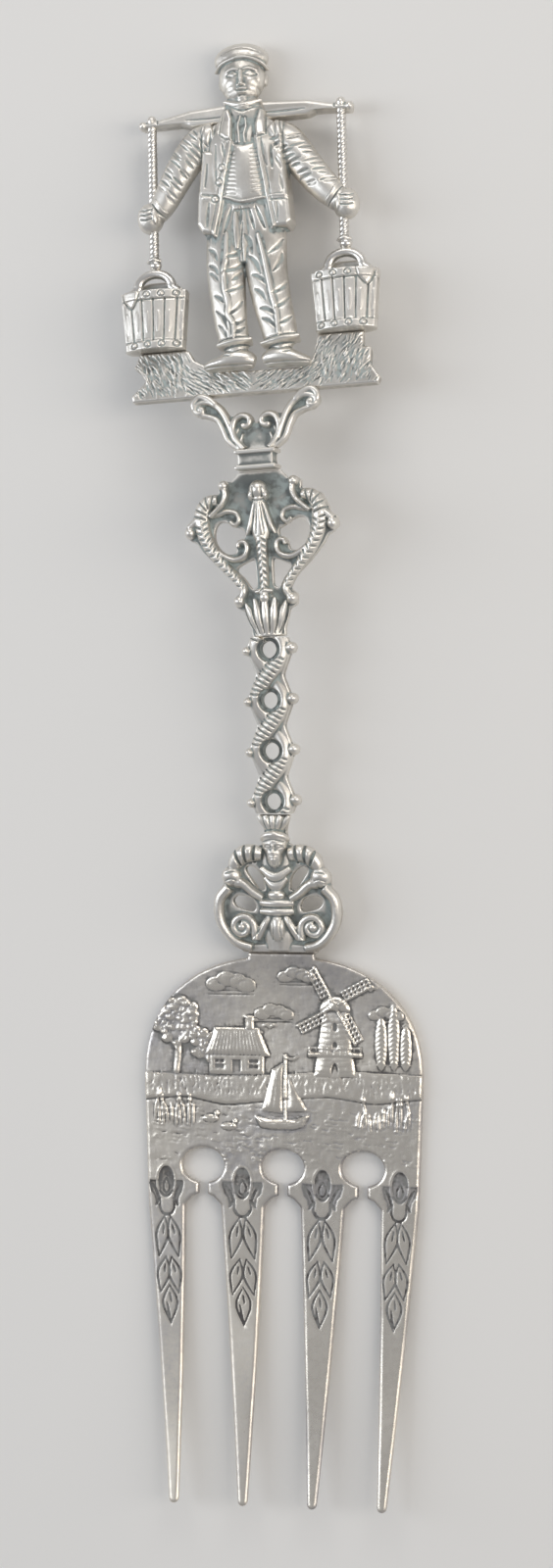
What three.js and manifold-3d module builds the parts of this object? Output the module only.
// Silver fish serving fork, laid on its back with the front up: a struck blade with four tines, a cast
// openwork handle in five soldered sections, and a finial of a water carrier with a yoke and two buckets.
// Millimetres. +X is to the right seen from the front, +Y runs from the tines to the finial, +Z is up.
// The origin is the middle of the flat on the blade's back that the fork rests on.
import * as THREE from "three";
import { mergeVertices } from "three/addons/utils/BufferGeometryUtils.js";
import Module from "manifold-3d";

const wasm = await Module();
wasm.setup();

// Joints: the solder gap between two pieces that are flush.
const seam = 0.1;

// Blade.
const bladeLength = 41.7; // from the neck to the roots of the tines
const bladeWidth = 48.6;
const bladeThickness = 1.6;
const crownHeight = 21; // the rounded top of the blade
const crownPower = 2.3; // 2 would be an ellipse, more is squarer
const neckWidth = 11.6;
const neckLength = 0.6;
const neckSweep = 14; // length over which the blade turns up to the handle
const neckRise = 1.3;
const restLength = 20; // the flat that lies on the table

// Tines.
const tineCount = 4;
const tineLength = 52.5;
const tineSpan = 47.2; // across the roots of all the tines
const gapPitch = 13.95;
const gapWidth = 6.3;
const tineTipPitch = 12.06;
const tineTipWidth = 1.7;
const tineTipThickness = 1.2;
const tipRise = 4.5; // how far the tips curve up from the table
const gapArch = 1.8; // height of the arch at the top of a gap between tines

// Pierced keyholes above the gaps.
const keyholeWidth = 7.4;
const keyholeHeight = 6;
const keyholeRise = 5; // centre above the roots of the tines
const keyholeNeck = 1.6;

// Handle: the arch that its back follows, and its sections from the blade up.
const archHeight = 9; // height of the handle's back where the finial stands on it
const archFall = 0.15; // slope of the handle's back at the finial, downwards
const hermHeight = 23.7;
const hermWidth = 21.2;
const hermDepth = 3.8;
const voluteDiameter = 4.8;
const eyeCount = 4;
const eyePitch = 8.5;
const eyeDiameter = 2.8;
const eyeMargin = 2.1; // from the first and the last eye to the ends of the twisted stem
const strandSwing = 2.1; // how far each strand swings from the middle
const strandWidth = 3;
const strandDepth = 2.6;
const beadDiameter = 1.6;
const webWidth = 5.9; // the thin web behind the strands
const webSwell = 0.55; // how much wider each side of the web is beside an eye
const cageHeight = 27.9;
const cageWidth = 22.4;
const cageDepth = 4;
const collarHeight = 3.5;
const collarWidth = 7;
const collarDepth = 5;
const collarGroove = 0.5;
const bracketHeight = 9.2;
const bracketWidth = 22.4;
const bracketDepth = 3.6;
const scrollTipDiameter = 3.8;

const handleLean = 3.5; // degrees: the cage and all above it were soldered on askew

// Finial.
const finialOffset = -0.5; // sideways from the middle of the bracket
const groundWidth = 41.6;
const groundHeight = 3.9;
const groundThickness = 2.4;
const tuftWidth = 8.4; // clumps of grass that carry the buckets
const carrierHeight = 57.2;
const carrierDepth = 6.4;
const headWidth = 8;
const shoulderWidth = 14.1;
const coatHemWidth = 16.3;
const sleeveWidth = 5.6;
const legWidth = 6.6;
const shoeLength = 7.2;
const bodyShift = -0.3; // the body stands a little to the left of the middle between the ropes
const stanceShift = 1.4; // the feet stand a little to the right of the body
const fistWall = 1.15; // metal of the fist around its rope
const yokeSpan = 35.4;
const yokeDiameter = 2.7;
const yokeEndDiameter = 1.5;
const yokeDrop = 12; // from the top of the cap down to the middle of the yoke
const ropeDiameter = 1.5;
const ropeInset = 1.2; // from the end of the yoke to the middle of the rope
const ropePitch = 3.4; // length of one turn of the twisted wire
const bucketHeight = 10.2;
const bucketTopWidth = 11.4;
const bucketBottomWidth = 9.8;
const bucketDepth = 5.2;
const hoopHeight = 1.5;
const hoopStand = 0.25;
const leftBucketBase = 8.5;
const rightBucketBase = 9.3;
const bailHeight = 4.1;
const bailWidth = 6.6;
const bailDiameter = 1.6;

// Metals.
const castSilver = new THREE.MeshStandardMaterial({ color: 0xbdb8ac, roughness: 0.36, metalness: 1 });
const struckSilver = new THREE.MeshStandardMaterial({ color: 0xc6c2b8, roughness: 0.28, metalness: 1 });
const twistedWire = new THREE.MeshStandardMaterial({ color: 0xc9c4b8, roughness: 0.32, metalness: 1 });

const sides = { left: -1, right: 1 };
const lerp = THREE.MathUtils.lerp;

// Solids and their geometry.
function solidOf(geometry) {
  const bare = geometry.clone();
  bare.deleteAttribute("normal");
  bare.deleteAttribute("uv");
  const merged = mergeVertices(bare);
  return new wasm.Manifold(
    new wasm.Mesh({
      numProp: 3,
      vertProperties: new Float32Array(merged.attributes.position.array),
      triVerts: new Uint32Array(merged.index.array),
    }),
  );
}

function geometryOf(solid) {
  const mesh = solid.getMesh();
  const indexed = new THREE.BufferGeometry();
  indexed.setAttribute("position", new THREE.BufferAttribute(mesh.vertProperties, 3));
  indexed.setIndex(new THREE.BufferAttribute(mesh.triVerts, 1));
  const faceted = indexed.toNonIndexed();
  faceted.computeVertexNormals();
  return faceted;
}

function join(solids) {
  return solids.reduce((whole, piece) => whole.add(piece));
}

function meshOf(name, geometry, material) {
  const mesh = new THREE.Mesh(geometry, material);
  mesh.name = name;
  return mesh;
}

// A round member through stations of [x, y, z, half width, half depth]. The width lies in the plane of the
// fork, square to the member's line, and the depth is square to both. A lobed section makes a twisted wire.
function loft(stations, steps, ringSides = 10, lobe = 0, turns = 0) {
  const line = new THREE.CatmullRomCurve3(stations.map(([x, y, z]) => new THREE.Vector3(x, y, z)));
  const size = new THREE.CatmullRomCurve3(stations.map(([, , , w, d]) => new THREE.Vector3(w, d, 0)));
  const positions = [];
  const indices = [];
  for (let i = 0; i <= steps; i += 1) {
    const t = i / steps;
    const centre = line.getPoint(t);
    const along = line.getTangent(t);
    const across = new THREE.Vector3(-along.y, along.x, 0).normalize();
    const out = new THREE.Vector3().crossVectors(along, across);
    const half = size.getPoint(t);
    for (let j = 0; j < ringSides; j += 1) {
      const angle = (2 * Math.PI * j) / ringSides;
      const swell = 1 - lobe + lobe * Math.cos(2 * (angle - 2 * Math.PI * turns * t));
      const point = centre
        .clone()
        .addScaledVector(across, half.x * swell * Math.cos(angle))
        .addScaledVector(out, half.y * swell * Math.sin(angle));
      positions.push(point.x, point.y, point.z);
    }
  }
  const first = positions.length / 3;
  const last = first + 1;
  for (const end of [line.getPoint(0), line.getPoint(1)]) positions.push(end.x, end.y, end.z);
  for (let j = 0; j < ringSides; j += 1) {
    const next = (j + 1) % ringSides;
    for (let i = 0; i < steps; i += 1) {
      const low = i * ringSides;
      const high = low + ringSides;
      indices.push(low + j, low + next, high + j, low + next, high + next, high + j);
    }
    indices.push(first, next, j);
    indices.push(last, steps * ringSides + j, steps * ringSides + next);
  }
  const geometry = new THREE.BufferGeometry();
  geometry.setAttribute("position", new THREE.Float32BufferAttribute(positions, 3));
  geometry.setIndex(indices);
  return solidOf(geometry);
}

// An ellipsoid, such as a bead, a head or a boss.
function ball(x, y, z, halfWidth, halfHeight = halfWidth, halfDepth = halfWidth, ringSides = 8) {
  const geometry = new THREE.SphereGeometry(1, ringSides, Math.ceil(ringSides * 0.6));
  geometry.scale(halfWidth, halfHeight, halfDepth);
  geometry.translate(x, y, z);
  return solidOf(geometry);
}

// A flat plate cut to an outline of [x, y] points, with openings sawn through it.
function plate(outline, low, high, openings = []) {
  const shape = new THREE.Shape(outline.map(([x, y]) => new THREE.Vector2(x, y)));
  shape.holes = openings.map((points) => new THREE.Path(points.map(([x, y]) => new THREE.Vector2(x, y))));
  const geometry = new THREE.ExtrudeGeometry(shape, { depth: high - low, bevelEnabled: false });
  geometry.translate(0, 0, low);
  return solidOf(geometry);
}

// A closed line with rounded corners through a few [x, y] points.
function rounded(points, steps) {
  const knots = points.map(([x, y]) => new THREE.Vector3(x, y, 0));
  const line = new THREE.CatmullRomCurve3(knots, true);
  return line.getPoints(steps).slice(0, -1).map(({ x, y }) => [x, y]);
}

// The same openings on the right and on the left.
function pairs(openings) {
  const left = openings.map((points) => points.map(([x, y]) => [-x, y]));
  return [...openings, ...left];
}

// Stations on a spiral from its outer end inwards, in the plane of the fork.
function spiral(x, y, z, side, diameter, startAngle, turns, halfWidth, halfDepth) {
  const count = 9;
  const innerShare = 0.4;
  const stations = [];
  for (let i = 0; i < count; i += 1) {
    const share = i / (count - 1);
    const angle = startAngle + 2 * Math.PI * turns * share;
    const reach = (diameter / 2) * lerp(1, innerShare, share);
    stations.push([side * (x + reach * Math.cos(angle)), y + reach * Math.sin(angle), z, halfWidth, halfDepth]);
  }
  return stations;
}

function mirrored(half) {
  const other = half.map(([x, y]) => [-x, y]).reverse();
  return [...half, ...other.filter(([x]) => x !== 0)];
}

function box(width, height, depth, x, y, z) {
  const geometry = new THREE.BoxGeometry(width, height, depth);
  geometry.translate(x, y, z);
  return solidOf(geometry);
}

// A round hole or peg along z.
function drill(x, y, diameter, low, high, ringSides = 16) {
  const geometry = new THREE.CylinderGeometry(diameter / 2, diameter / 2, high - low, ringSides);
  geometry.rotateX(Math.PI / 2);
  geometry.translate(x, y, (low + high) / 2);
  return solidOf(geometry);
}

// The handle is modelled flat, from y = 0 at the neck, and then bent so that its back follows the arch.
const hermTop = hermHeight;
const stemHeight = 2 * eyeMargin + (eyeCount - 1) * eyePitch;
const stemTop = hermTop + stemHeight;
const cageTop = stemTop + cageHeight;
const collarTop = cageTop + collarHeight;
const handleLength = collarTop + bracketHeight;
const lean = THREE.MathUtils.degToRad(handleLean);
const cupWidth = 5;
const leanGap = seam + (cupWidth / 2) * Math.sin(lean);
const neckSlope = (2 * neckRise) / neckSweep;

function archAt(y) {
  const t = y / handleLength;
  const start = 2 * t ** 3 - 3 * t ** 2 + 1;
  const startSlope = t ** 3 - 2 * t ** 2 + t;
  const end = 1 - start;
  const endSlope = t ** 3 - t ** 2;
  return (
    start * neckRise + end * archHeight + handleLength * (startSlope * neckSlope - endSlope * archFall)
  );
}

function bent(solid, base) {
  const geometry = geometryOf(solid);
  geometry.translate(0, base, 0);
  const position = geometry.attributes.position;
  for (let i = 0; i < position.count; i += 1) {
    position.setZ(i, position.getZ(i) + archAt(position.getY(i)));
  }
  geometry.computeVertexNormals();
  return geometry;
}

// Blade and tines: a plan outline, cut from sheet that is bent to the side profile.
function bladeOutline() {
  const shape = new THREE.Shape();
  const roots = -bladeLength;
  const tips = roots - tineLength;
  const crownBase = -neckLength - crownHeight;
  const crownAt = (x) => {
    const share = 1 - Math.abs((2 * x) / bladeWidth) ** crownPower;
    return crownBase + crownHeight * share ** (1 / crownPower);
  };
  const crownSteps = 14;
  const startAngle = Math.asin(neckWidth / bladeWidth);
  const crownPoint = (side, i) => {
    const x = (Math.sin(lerp(startAngle, Math.PI / 2, i / crownSteps)) * bladeWidth) / 2;
    return [side * x, crownAt(x)];
  };
  shape.moveTo(-neckWidth / 2, 0);
  for (let i = 0; i <= crownSteps; i += 1) shape.lineTo(...crownPoint(-1, i));
  for (let i = 0; i < tineCount; i += 1) {
    const step = i - (tineCount - 1) / 2;
    const tip = step * tineTipPitch;
    const gap = (step + 0.5) * gapPitch;
    const isLast = i === tineCount - 1;
    const leftEdge = i === 0 ? -tineSpan / 2 : gap - gapPitch + gapWidth / 2;
    const rightEdge = isLast ? tineSpan / 2 : gap - gapWidth / 2;
    shape.lineTo(leftEdge, roots - gapArch);
    shape.lineTo(tip - tineTipWidth / 2, tips + tineTipWidth / 2);
    shape.absarc(tip, tips + tineTipWidth / 2, tineTipWidth / 2, Math.PI, 2 * Math.PI);
    shape.lineTo(rightEdge, roots - gapArch);
    if (!isLast) addKeyhole(shape, gap, roots);
  }
  for (let i = crownSteps; i >= 0; i -= 1) shape.lineTo(...crownPoint(1, i));
  shape.lineTo(neckWidth / 2, 0);
  shape.closePath();
  return shape;
}

function addKeyhole(shape, x, roots) {
  const half = keyholeNeck / 2;
  const y = roots + keyholeRise;
  const mouth = Math.acos(keyholeNeck / keyholeWidth);
  shape.quadraticCurveTo(x - half - gapArch, roots, x - half, roots);
  shape.absellipse(x, y, keyholeWidth / 2, keyholeHeight / 2, Math.PI + mouth, -mouth, true);
  shape.lineTo(x + half, roots);
  shape.quadraticCurveTo(x + half + gapArch, roots, x + gapWidth / 2, roots - gapArch);
}

function bladeBackAt(y) {
  const restStart = -neckSweep;
  const restEnd = restStart - restLength;
  const tips = -bladeLength - tineLength;
  if (y > restStart) return neckRise * (1 - y / restStart) ** 2;
  if (y > restEnd) return 0;
  return tipRise * ((restEnd - y) / (restEnd - tips)) ** 2;
}

function bladeThicknessAt(y) {
  const tips = -bladeLength - tineLength;
  return lerp(tineTipThickness, bladeThickness, Math.min(1, (y - tips) / tineLength));
}

function makeBlade() {
  const tips = -bladeLength - tineLength;
  const restEnd = -neckSweep - restLength;
  const tineSteps = 12;
  const neckSteps = 5;
  const stations = [];
  for (let i = 0; i < tineSteps; i += 1) stations.push(lerp(tips, restEnd, i / tineSteps));
  stations.push(restEnd);
  for (let i = 0; i <= neckSteps; i += 1) stations.push(lerp(-neckSweep, 0, i / neckSteps));
  const back = stations.map((y) => new THREE.Vector2(y, bladeBackAt(y)));
  const front = stations.map((y) => new THREE.Vector2(y, bladeBackAt(y) + bladeThicknessAt(y)));
  const profile = new THREE.Shape([...back, ...front.reverse()]);
  const sheet = new THREE.ExtrudeGeometry(profile, { depth: 2 * bladeWidth, bevelEnabled: false });
  const lengthwise = new THREE.Matrix4().makeBasis(
    new THREE.Vector3(0, 1, 0),
    new THREE.Vector3(0, 0, 1),
    new THREE.Vector3(1, 0, 0),
  );
  sheet.applyMatrix4(lengthwise);
  sheet.translate(-bladeWidth, 0, 0);
  const above = tipRise + neckRise + 2 * bladeThickness;
  const plan = new THREE.ExtrudeGeometry(bladeOutline(), {
    depth: 2 * above,
    bevelEnabled: false,
    curveSegments: 6,
  });
  plan.translate(0, 0, -above);
  return solidOf(sheet).intersect(solidOf(plan));
}

// Herm: a bust with a leafy crown between two scrolls, on a pierced plate whose foot meets the blade's neck.
function makeHerm() {
  const w = hermWidth / 2;
  const h = hermHeight;
  const z = hermDepth / 2;
  const outline = mirrored([
    [neckWidth / 2, 0],
    [0.55 * w, 0.05 * h],
    [0.74 * w, 0.08 * h],
    [0.92 * w, 0.18 * h],
    [w, 0.3 * h],
    [0.97 * w, 0.4 * h],
    [0.85 * w, 0.47 * h],
    [0.85 * w, 0.57 * h],
    [0.72 * w, 0.62 * h],
    [0.68 * w, 0.7 * h],
    [0.54 * w, 0.76 * h],
    [0.32 * w, 0.76 * h],
    [0.2 * w, 0.79 * h],
    [0.19 * w, 0.9 * h],
    [0.22 * w, h],
  ]);
  const upperOpening = [
    [0.21 * w, 0.456 * h],
    [0.31 * w, 0.45 * h],
    [0.5 * w, 0.585 * h],
    [0.48 * w, 0.62 * h],
    [0.36 * w, 0.615 * h],
    [0.24 * w, 0.55 * h],
  ];
  const lowerOpening = [
    [0.36 * w, 0.34 * h],
    [0.43 * w, 0.395 * h],
    [0.64 * w, 0.415 * h],
    [0.73 * w, 0.375 * h],
    [0.66 * w, 0.325 * h],
    [0.42 * w, 0.3 * h],
  ];
  const openings = pairs([rounded(upperOpening, 12), rounded(lowerOpening, 12)]);
  const pieces = [
    plate(outline, 0.15 * hermDepth, 0.6 * hermDepth, openings),
    loft(
      [
        [0, 0, z, 2.1, 0.8 * z],
        [0, 0.14 * h, z, 2.6, 0.95 * z],
        [0, 0.28 * h, z, 1.8, 0.9 * z],
        [0, 0.35 * h, z, 2.7, 1.2 * z],
        [0, 0.44 * h, z, 1.4, 0.9 * z],
        [0, 0.56 * h, z, 2.3, 1.1 * z],
        [0, 0.67 * h, z, 2.6, 0.85 * z],
        [0, 0.8 * h, z, 1.8, 0.8 * z],
        [0, h, z, 2.4, 0.95 * z],
      ],
      18,
      8,
    ),
    ball(0, 0.77 * h, 1.35 * z, 2.1, 0.145 * h, 0.95 * z, 9),
    ball(0, 0.175 * h, 1.5 * z, 1.4, 0.1 * h, 0.8 * z, 8),
  ];
  for (const side of Object.values(sides)) {
    pieces.push(
      loft(
        [
          [side * 0.8 * w, 0.49 * h, z, 0.75, 0.85 * z],
          [side * 0.94 * w, 0.4 * h, z, 0.75, 0.9 * z],
          [side * 0.96 * w, 0.29 * h, z, 0.75, 0.9 * z],
          [side * 0.88 * w, 0.18 * h, z, 0.75, 0.9 * z],
          [side * 0.72 * w, 0.11 * h, z, 0.75, 0.85 * z],
          [side * 0.54 * w, 0.08 * h, z, 0.75, 0.8 * z],
        ],
        9,
        6,
      ),
      loft(spiral(0.59 * w, 0.19 * h, 1.25 * z, side, voluteDiameter, Math.PI, 1.15, 0.6, 0.65 * z), 10, 6),
      loft(
        [
          [side * 0.72 * w, 0.485 * h, 1.25 * z, 0.8, 0.7 * z],
          [side * 0.5 * w, 0.46 * h, 1.25 * z, 0.75, 0.7 * z],
          [side * 0.17 * w, 0.38 * h, 1.25 * z, 0.6, 0.6 * z],
        ],
        4,
        6,
      ),
      loft(
        [
          [side * 0.2 * w, 0.69 * h, 1.1 * z, 1.2, 0.8 * z],
          [side * 0.4 * w, 0.72 * h, 1.2 * z, 1.4, 0.9 * z],
          [side * 0.58 * w, 0.7 * h, 1.2 * z, 1.4, 0.9 * z],
          [side * 0.7 * w, 0.63 * h, 1.1 * z, 1, 0.8 * z],
          [side * 0.75 * w, 0.55 * h, 1.1 * z, 1.1, 0.8 * z],
        ],
        7,
        7,
      ),
      ball(side * 0.75 * w, 0.54 * h, 1.3 * z, 1.5, 1.6, 0.85 * z, 8),
    );
  }
  return join(pieces).intersect(box(2 * hermWidth, h - seam, 4 * hermDepth, 0, (h + seam) / 2, z));
}

// Twisted stem: two strands wound round each other on a thin web, with an eye drilled in each loop.
function makeTwistedStem() {
  const back = strandDepth / 4;
  const z = strandDepth / 2 + back;
  const weave = 0.3 * strandDepth;
  const stepsPerEye = 6;
  const steps = Math.ceil((stepsPerEye * stemHeight) / eyePitch);
  const phaseAt = (y) => (Math.PI * (y - eyeMargin)) / eyePitch;
  const pieces = [];
  for (const side of Object.values(sides)) {
    const stations = [];
    for (let i = -1; i <= steps + 1; i += 1) {
      const y = (i * stemHeight) / steps;
      const x = side * strandSwing * Math.cos(phaseAt(y));
      stations.push([x, y, z - side * weave * Math.sin(phaseAt(y)), strandWidth / 2, strandDepth / 2]);
    }
    pieces.push(loft(stations, stations.length - 1, 7));
  }
  const edge = [];
  for (let i = 0; i <= steps; i += 1) {
    const y = (i * stemHeight) / steps;
    edge.push([webWidth / 2 + webSwell * Math.cos(2 * phaseAt(y)), y]);
  }
  pieces.push(plate(mirrored(edge), back, z + 0.2 * strandDepth));
  for (let i = 0; i < eyeCount; i += 1) {
    const y = eyeMargin + i * eyePitch;
    const reach = strandSwing + strandWidth / 2 + 0.1 * beadDiameter;
    for (const side of Object.values(sides)) pieces.push(ball(side * reach, y, z, beadDiameter / 2));
  }
  let stem = join(pieces).intersect(
    box(4 * strandWidth + 4 * strandSwing, stemHeight - seam, 8 * strandDepth, 0, (stemHeight + seam) / 2, z),
  );
  for (let i = 0; i < eyeCount; i += 1) {
    stem = stem.subtract(drill(0, eyeMargin + i * eyePitch, eyeDiameter, -strandDepth, 4 * strandDepth));
  }
  return stem;
}

// Serpent cage: two serpents form a lyre around a third, on a pierced plate from the leaf cup to the collar.
function makeSerpentCage() {
  const w = cageWidth / 2;
  const h = cageHeight;
  const z = cageDepth / 2;
  const outline = mirrored([
    [cupWidth / 2, 0],
    [0.26 * w, 0.05 * h],
    [0.35 * w, 0.16 * h],
    [0.46 * w, 0.186 * h],
    [0.48 * w, 0.244 * h],
    [0.375 * w, 0.283 * h],
    [0.48 * w, 0.358 * h],
    [0.705 * w, 0.437 * h],
    [0.93 * w, 0.538 * h],
    [1.09 * w, 0.602 * h],
    [1.17 * w, 0.64 * h],
    [1.15 * w, 0.695 * h],
    [1.05 * w, 0.703 * h],
    [1.02 * w, 0.756 * h],
    [0.93 * w, 0.835 * h],
    [0.77 * w, 0.875 * h],
    [0.625 * w, 0.875 * h],
    [0.63 * w, 0.925 * h],
    [0.55 * w, 0.95 * h],
    [0.44 * w, 0.943 * h],
    [0.32 * w, h],
  ]);
  const upperOpening = [
    [0.26 * w, 0.642 * h],
    [0.5 * w, 0.695 * h],
    [0.64 * w, 0.7 * h],
    [0.72 * w, 0.65 * h],
    [0.71 * w, 0.58 * h],
    [0.6 * w, 0.52 * h],
    [0.43 * w, 0.515 * h],
    [0.28 * w, 0.59 * h],
  ];
  const lowerOpening = [
    [0.125 * w, 0.31 * h],
    [0.2 * w, 0.294 * h],
    [0.42 * w, 0.416 * h],
    [0.18 * w, 0.466 * h],
    [0.134 * w, 0.44 * h],
  ];
  const openings = pairs([rounded(upperOpening, 14), rounded(lowerOpening, 10)]);
  const pieces = [
    plate(outline, 0.12 * cageDepth, 0.5 * cageDepth, openings),
    loft(
      [
        [0, 0, z, cupWidth / 2, 0.75 * z],
        [0, 0.1 * h, z, 3, 1.1 * z],
        [0, 0.19 * h, z, 3, 1.1 * z],
        [0, 0.27 * h, z, 1.3, 0.8 * z],
        [0, 0.36 * h, 1.15 * z, 0.95, 0.65 * z],
        [0, 0.55 * h, 1.2 * z, 1.2, 0.7 * z],
        [0, 0.62 * h, 1.2 * z, 2.1, 0.7 * z],
        [0, 0.72 * h, 1.3 * z, 1.4, 0.7 * z],
        [0, 0.84 * h, 1.4 * z, 1.1, 0.75 * z],
      ],
      20,
      8,
    ),
    ball(0, 0.89 * h, 1.55 * z, 1.65, 1.75, 0.8 * z, 8),
  ];
  for (const side of Object.values(sides)) {
    pieces.push(
      loft(
        [
          [side * 0.39 * w, 0.23 * h, z, 0.7, 0.65 * z],
          [side * 0.35 * w, 0.285 * h, z, 0.8, 0.7 * z],
          [side * 0.59 * w, 0.43 * h, z, 1, 0.8 * z],
          [side * 0.86 * w, 0.595 * h, z, 1.4, 0.9 * z],
          [side * 0.9 * w, 0.7 * h, z, 1.6, 0.95 * z],
          [side * 0.87 * w, 0.785 * h, z, 1.5, 0.9 * z],
          [side * 0.64 * w, 0.83 * h, z, 1.1, 0.8 * z],
        ],
        12,
        7,
      ),
      loft(
        [
          [side * 0.55 * w, 0.92 * h, 1.2 * z, 0.7, 0.7 * z],
          [side * 0.53 * w, 0.86 * h, 1.2 * z, 0.65, 0.7 * z],
          [side * 0.75 * w, 0.75 * h, 1.2 * z, 0.5, 0.6 * z],
        ],
        4,
        6,
      ),
      loft(
        [
          [side * 0.77 * w, 0.56 * h, 1.15 * z, 0.6, 0.65 * z],
          [side * 0.63 * w, 0.495 * h, 1.15 * z, 0.6, 0.65 * z],
          [side * 0.43 * w, 0.48 * h, 1.15 * z, 0.6, 0.65 * z],
          [side * 0.29 * w, 0.54 * h, 1.15 * z, 0.6, 0.65 * z],
          [side * 0.35 * w, 0.582 * h, 1.15 * z, 0.55, 0.6 * z],
        ],
        8,
        6,
      ),
      ball(side * 0.55 * w, 0.92 * h, 1.2 * z, 1, 1, 0.7 * z, 8),
      ball(side * 1.09 * w, 0.655 * h, z, 1, 1.1, 0.8 * z, 8),
      ball(side * 0.4 * w, 0.222 * h, z, 1.05, 1.05, 0.8 * z, 8),
    );
  }
  return join(pieces).intersect(box(2 * cageWidth, h - leanGap, 4 * cageDepth, 0, (h + leanGap) / 2, z));
}

// Collar: a square spool between the cage and the bracket.
function makeCollar() {
  const lip = collarWidth / 2;
  const waist = lip - collarGroove;
  const profile = [
    [0, seam],
    [lip, seam],
    [lip, 0.2 * collarHeight],
    [waist, 0.36 * collarHeight],
    [waist, 0.64 * collarHeight],
    [lip, 0.8 * collarHeight],
    [lip, collarHeight],
    [0, collarHeight],
  ];
  const corner = Math.SQRT2;
  const spool = new THREE.LatheGeometry(
    profile.map(([x, y]) => new THREE.Vector2(x * corner, y)),
    4,
    Math.PI / 4,
  );
  spool.scale(1, 1, collarDepth / collarWidth);
  spool.translate(0, 0, collarDepth / 2);
  return solidOf(spool);
}

// Bracket: two outer scrolls whose tips carry the ground, and two inner ones that curl together.
const tipReach = (bracketWidth - scrollTipDiameter) / 2;
const tipHeight = bracketHeight - scrollTipDiameter / 2;

function makeBracket() {
  const w = bracketWidth / 2;
  const h = bracketHeight;
  const z = bracketDepth / 2;
  const tip = scrollTipDiameter;
  const web = mirrored([
    [0.26 * w, seam],
    [0.44 * w, 0.22 * h],
    [0.48 * w, 0.5 * h],
    [0.38 * w, 0.66 * h],
    [0.2 * w, 0.66 * h],
    [0.1 * w, 0.5 * h],
  ]);
  const pieces = [plate(web, 0.15 * bracketDepth, 0.5 * bracketDepth)];
  for (const side of Object.values(sides)) {
    pieces.push(
      loft(
        [
          [side * 0.24 * w, seam, z, 1.1, 0.85 * z],
          [side * 0.43 * w, 0.21 * h, z, 1.2, 0.9 * z],
          [side * 0.48 * w, 0.45 * h, z, 1.2, 0.95 * z],
          [side * (tipReach - 0.85 * tip), tipHeight - 0.2 * tip, z, 1.15, z],
          [side * (tipReach - 0.5 * tip), tipHeight + 0.12 * tip, z, 1.05, z],
          [side * tipReach, tipHeight + 0.2 * tip, z, 0.8, z],
        ],
        9,
        7,
      ),
      drill(side * tipReach, tipHeight, tip, 0, bracketDepth),
      loft(
        [
          [side * 0.16 * w, seam, 1.1 * z, 0.75, 0.8 * z],
          [side * 0.34 * w, 0.21 * h, 1.1 * z, 0.75, 0.85 * z],
          [side * 0.385 * w, 0.45 * h, 1.1 * z, 0.75, 0.85 * z],
          [side * 0.3 * w, 0.65 * h, 1.1 * z, 0.7, 0.85 * z],
          [side * 0.17 * w, 0.69 * h, 1.1 * z, 0.65, 0.85 * z],
          [side * 0.095 * w, 0.57 * h, 1.1 * z, 0.6, 0.85 * z],
          [side * 0.15 * w, 0.47 * h, 1.1 * z, 0.55, 0.8 * z],
        ],
        10,
        6,
      ),
    );
  }
  return join(pieces).intersect(box(2 * bracketWidth, h, 4 * bracketDepth, 0, h / 2 + seam, z));
}

// The finial stands on the bracket's tips in a frame of its own: y up from the lower edge of the ground,
// z forward from its flat back. It slopes so that the back of the cap comes down to the table.
const capShare = 0.955; // height of the cap's middle, as a share of the figure
const finialSlope = Math.asin(archHeight / (groundHeight + capShare * carrierHeight));
const finial = new THREE.Group();
finial.position.set(finialOffset, handleLength, archHeight);
finial.rotation.x = -finialSlope;
finial.updateMatrix();
const ropeX = yokeSpan / 2 - ropeInset;
const bucketBase = { left: leftBucketBase, right: rightBucketBase };
const ropeZ = bucketDepth / 2;
const yokeY = groundHeight + carrierHeight - yokeDrop;

// Ground: a grassy plate with a clump under each bucket, notched where the bracket's tips are soldered in.
function makeGround() {
  const half = groundWidth / 2;
  const edge = (side) => {
    const base = bucketBase[side] - seam;
    const inner = ropeX - tuftWidth / 2;
    const outer = ropeX + tuftWidth / 2;
    const outline = [
      [half - 0.4, 0],
      [half, 0.28 * base],
      [half - 1.7, 0.48 * base],
      [Math.max(half - 0.9, outer), 0.78 * base],
      [outer - 0.5, base],
      [inner + 0.3, base],
      [inner, 0.76 * base],
      [inner - 1.6, groundHeight],
    ];
    return outline.map(([x, y]) => [sides[side] * x, y]);
  };
  const outline = [...edge("right"), ...edge("left").reverse()];
  const toFinial = new THREE.Matrix4().copy(finial.matrix).invert();
  const notches = Object.values(sides).map((side) => {
    const across = scrollTipDiameter + 6 * seam;
    const notch = new THREE.CylinderGeometry(across / 2, across / 2, 4 * bracketDepth, 20);
    notch.rotateX(Math.PI / 2);
    notch.translate(side * tipReach, collarTop + tipHeight, archHeight + bracketDepth / 2);
    return solidOf(notch.applyMatrix4(toFinial));
  });
  return plate(outline, 0, groundThickness).subtract(join(notches));
}

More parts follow.
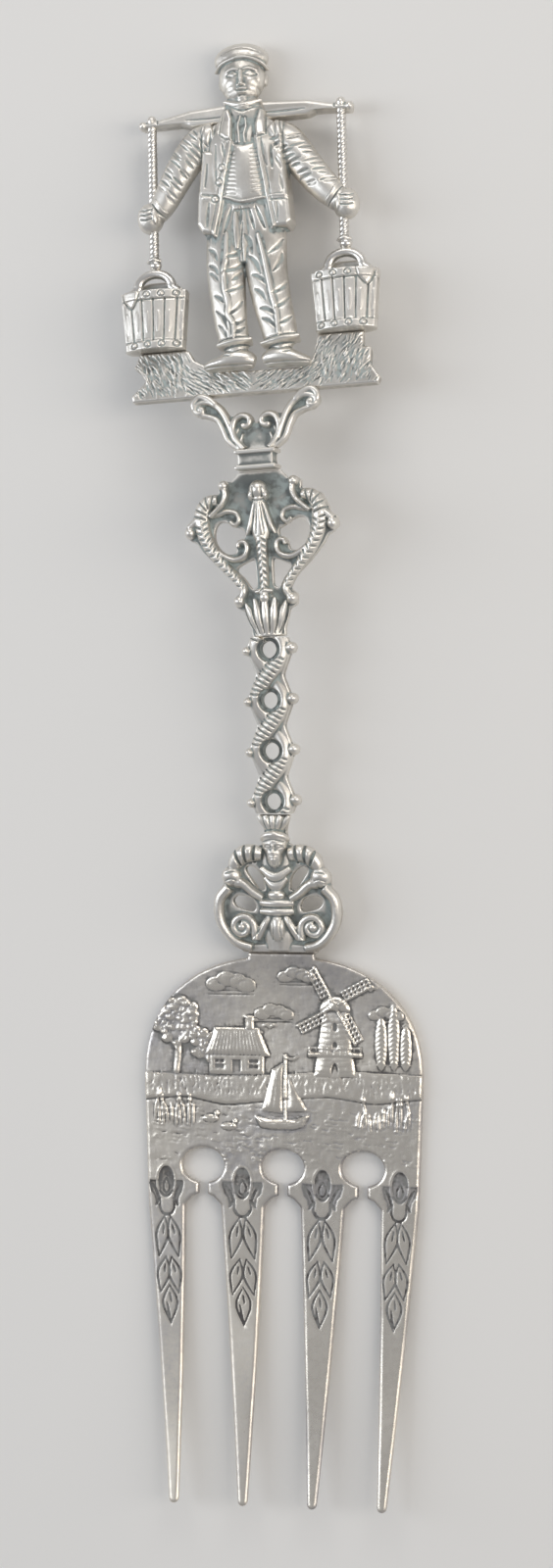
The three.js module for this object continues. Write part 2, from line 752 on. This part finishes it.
// Yoke: a bar that is thick across the shoulders and thin at its ends, with a knob over each rope.
function makeYoke(clearance) {
  const half = yokeSpan / 2 + clearance;
  const thick = yokeDiameter / 2 + clearance;
  const thin = yokeEndDiameter / 2 + clearance;
  const z = yokeDiameter / 2;
  const bar = loft(
    [
      [-half, yokeY, z, thin, thin],
      [-0.78 * half, yokeY, z, thin, thin],
      [-0.58 * half, yokeY, z, thick, thick],
      [0, yokeY, z, thick, thick],
      [0.58 * half, yokeY, z, thick, thick],
      [0.78 * half, yokeY, z, thin, thin],
      [half, yokeY, z, thin, thin],
    ],
    14,
    8,
  );
  const knobs = Object.values(sides).map((side) =>
    ball(side * ropeX, yokeY + yokeEndDiameter / 2, z, 0.6 * yokeEndDiameter + clearance),
  );
  return join([bar, ...knobs]);
}

// Ropes: twisted wire from the yoke, through the fist, to the top of the bail.
const ropeTop = yokeY - yokeEndDiameter / 2 - seam;

function ropeEnd(side) {
  return bucketBase[side] + bucketHeight + 2 * seam + bailHeight;
}

function makeRope(side) {
  const x = sides[side] * ropeX;
  const r = ropeDiameter / 2;
  const low = ropeEnd(side);
  const turns = (ropeTop - low) / ropePitch;
  const lobe = 0.13;
  return loft(
    [
      [x, low, ropeZ, r, r],
      [x, ropeTop, ropeZ, r, r],
    ],
    Math.ceil(6 * turns),
    6,
    lobe,
    turns / 2,
  );
}

// Water carrier: cap and head, open coat, trousers and shoes, with both fists round the ropes.
function makeCarrier() {
  const sole = groundHeight + seam;
  const h = carrierHeight - seam;
  const z = carrierDepth / 2;
  const up = (share) => sole + share * h;
  const chest = shoulderWidth / 2;
  const hem = coatHemWidth / 2;
  const sleeve = sleeveWidth / 2;
  const leg = legWidth / 2;
  const head = headWidth / 2;
  const heel = 0.45 * leg;
  const middle = bodyShift;
  const stand = bodyShift + stanceShift;
  const fist = ropeDiameter / 2 + fistWall;
  const pieces = [
    loft(
      [
        [middle, up(0.41), z, hem, 0.85 * z],
        [middle, up(0.54), z, 1.04 * chest, 0.85 * z],
        [middle, up(0.66), z, chest, 0.95 * z],
        [middle, up(0.745), z, 0.95 * chest, 0.85 * z],
        [middle, up(0.785), z, 0.55 * chest, 0.75 * z],
        [middle, up(0.86), z, 0.72 * head, 0.65 * z],
      ],
      10,
      12,
    ),
    ball(middle, up(0.9), 1.1 * z, 0.98 * head, 0.09 * h, 0.95 * z, 12),
    ball(middle, up(capShare), z, 1.14 * head, 0.045 * h, z, 12),
    ball(middle, up(0.936), 1.6 * z, 0.98 * head, 0.012 * h, 0.5 * z, 8),
  ];
  for (const side of Object.keys(sides)) {
    const s = sides[side];
    const hand = up(0.49);
    pieces.push(
      loft(
        [
          [s * 0.6 * leg + middle, up(0.45), z, 1.1 * leg, 0.78 * z],
          [s * 1.05 * leg + middle, up(0.3), z, 1.05 * leg, 0.78 * z],
          [s * 1.12 * leg + 0.5 * (middle + stand), up(0.19), z, 0.97 * leg, 0.72 * z],
          [s * 1.2 * leg + stand, up(0.085), z, 0.9 * leg, 0.7 * z],
        ],
        7,
        8,
      ),
      loft(
        [
          [s * 1.2 * leg + stand, up(0.092), z, 0.96 * leg, 0.78 * z],
          [s * 1.2 * leg + stand, up(0.065), z, 0.96 * leg, 0.78 * z],
        ],
        1,
        10,
      ),
      loft(
        [
          [s * 1.15 * leg + stand, up(0.075), z, 0.62 * leg, 0.6 * z],
          [s * 1.15 * leg + stand, up(0.025), z, 0.7 * leg, 0.65 * z],
        ],
        2,
        8,
      ),
      loft(
        [
          [s * heel + stand, up(0.014), z, 0.018 * h, 0.6 * z],
          [s * (heel + 0.3 * shoeLength) + stand, up(0.02), z, 0.026 * h, 0.78 * z],
          [s * (heel + 0.7 * shoeLength) + stand, up(0.016), z, 0.022 * h, 0.8 * z],
          [s * (heel + shoeLength) + stand, up(0.016), z, 0.01 * h, 0.45 * z],
        ],
        6,
        8,
      ),
      loft(
        [
          [s * 0.8 * chest + middle, up(0.73), z, sleeve, 0.78 * z],
          [s * (0.5 * chest + 0.43 * ropeX), up(0.625), z, sleeve, 0.75 * z],
          [s * (ropeX - 1.9), up(0.52), 0.5 * (z + ropeZ), 0.82 * sleeve, 0.65 * z],
          [s * ropeX, hand, ropeZ, 0.6 * sleeve, 0.5 * z],
        ],
        7,
        8,
      ),
      ball(s * ropeX, hand, ropeZ, fist, 1.35 * fist, fist, 10),
    );
  }
  const soles = box(2 * yokeSpan, carrierHeight, 4 * carrierDepth, 0, sole + carrierHeight / 2, carrierDepth);
  const opening = mirrored([
    [0, up(0.4)],
    [0.56 * hem, up(0.4)],
    [0.36 * chest, up(0.6)],
    [0.3 * chest, up(0.72)],
    [0, up(0.79)],
  ]).map(([x, y]) => [x + middle, y]);
  const lapels = plate(opening, 1.72 * z, 3 * z);
  const bores = Object.values(sides).map((side) => {
    const wide = (ropeDiameter + 2 * seam) / Math.cos(Math.PI / 12);
    const bore = new THREE.CylinderGeometry(wide / 2, wide / 2, carrierHeight, 12);
    bore.translate(side * ropeX, sole + carrierHeight / 2, ropeZ);
    return solidOf(bore);
  });
  return join(pieces).intersect(soles).subtract(join([lapels, makeYoke(3 * seam), ...bores]));
}

// Buckets: staves between two hoops, oval in depth, with a shallow mouth.
function makeBucket(side) {
  const base = bucketBase[side];
  const top = bucketTopWidth / 2;
  const bottom = bucketBottomWidth / 2;
  const hoop = (share) => lerp(bottom, top, share) + hoopStand;
  const stave = (share) => lerp(bottom, top, share);
  const share = hoopHeight / bucketHeight;
  const mouth = 0.8;
  const profile = [
    [0, 0],
    [hoop(0), 0],
    [hoop(share), hoopHeight],
    [stave(share), hoopHeight],
    [stave(1 - share), bucketHeight - hoopHeight],
    [hoop(1 - share), bucketHeight - hoopHeight],
    [hoop(1), bucketHeight],
    [top - mouth, bucketHeight],
    [top - mouth, bucketHeight - mouth],
    [0, bucketHeight - mouth],
  ];
  const body = new THREE.LatheGeometry(
    profile.map(([x, y]) => new THREE.Vector2(x, y)),
    22,
  );
  body.scale(1, 1, bucketDepth / (bucketTopWidth + 2 * hoopStand));
  body.translate(sides[side] * ropeX, base, ropeZ);
  return solidOf(body);
}

// Bails: wire hoops that stand on the rims of the buckets.
function makeBail(side) {
  const x = sides[side] * ropeX;
  const rim = bucketBase[side] + bucketHeight + seam;
  const r = bailDiameter / 2;
  const stations = [];
  const steps = 10;
  for (let i = 0; i <= steps; i += 1) {
    const angle = Math.PI * (1 - i / steps);
    const rise = (bailHeight - r) * Math.sin(angle);
    stations.push([x + (bailWidth / 2) * Math.cos(angle), rim + rise, ropeZ, r, r]);
  }
  const standing = box(2 * bailWidth, bailHeight, 4 * bailDiameter, x, rim + bailHeight / 2, ropeZ);
  return loft(stations, steps, 8).intersect(standing);
}

// Assembly. The cage and everything above it lean about the top of the twisted stem.
const upper = new THREE.Group();
upper.position.y = -stemTop;
upper.add(
  meshOf("serpent_cage", bent(makeSerpentCage(), stemTop), castSilver),
  meshOf("collar", bent(makeCollar(), cageTop), castSilver),
  meshOf("scroll_bracket", bent(makeBracket(), collarTop), castSilver),
  finial,
);
const leaning = new THREE.Group();
leaning.position.y = stemTop;
leaning.rotation.z = lean;
leaning.add(upper);

finial.add(
  meshOf("ground", geometryOf(makeGround()), castSilver),
  meshOf("water_carrier", geometryOf(makeCarrier()), castSilver),
  meshOf("yoke", geometryOf(makeYoke(0)), castSilver),
);
for (const side of Object.keys(sides)) {
  finial.add(
    meshOf(side + "_rope", geometryOf(makeRope(side)), twistedWire),
    meshOf(side + "_bucket", geometryOf(makeBucket(side)), castSilver),
    meshOf(side + "_bail", geometryOf(makeBail(side)), twistedWire),
  );
}

// The middle of the rest flat is the origin.
const whole = new THREE.Group();
whole.position.y = neckSweep + restLength / 2;
whole.add(
  meshOf("blade", geometryOf(makeBlade()), struckSilver),
  meshOf("herm_scroll", bent(makeHerm(), 0), castSilver),
  meshOf("twisted_stem", bent(makeTwistedStem(), hermTop), castSilver),
  leaning,
);
const fork = new THREE.Group();
fork.add(whole);

export default fork;
